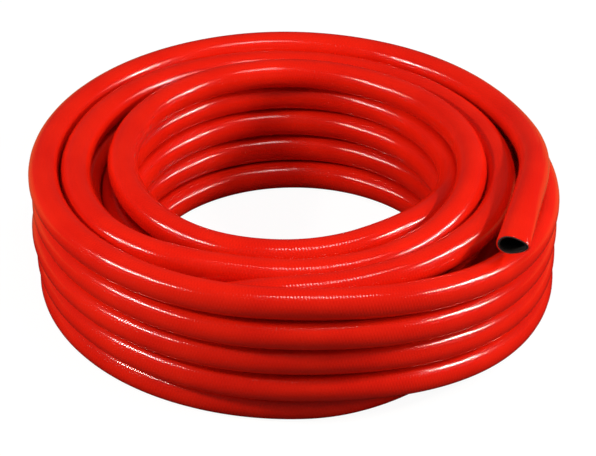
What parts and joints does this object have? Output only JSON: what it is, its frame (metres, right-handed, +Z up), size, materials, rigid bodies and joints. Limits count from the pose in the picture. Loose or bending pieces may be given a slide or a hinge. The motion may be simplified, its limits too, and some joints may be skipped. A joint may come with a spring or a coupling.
{
  "type": "coiled air hose",
  "caption": "Bare length of flexible rubber air hose wound into a loose round coil that stands flat, with both ends cut square and left open.",
  "frame": {"origin": "centre of the bounding box at ground height, inside the coil's open middle", "axes": "+Z up along the coil's axis, +X to the side where the cut end lies on top, +Y away from the viewer in the picture"},
  "size_m": [0.4364, 0.4378, 0.1309],
  "materials": {
    "cover": "glossy red cover with a fine fabric impression",
    "reinforcement": "grey spiralled yarn, seen only at the cut ends",
    "lining": "matt black"
  },
  "bodies": {
    "root": {"hose_cover": "cover", "hose_reinforcement": "reinforcement", "hose_lining": "lining"}
  },
  "joints": []
}
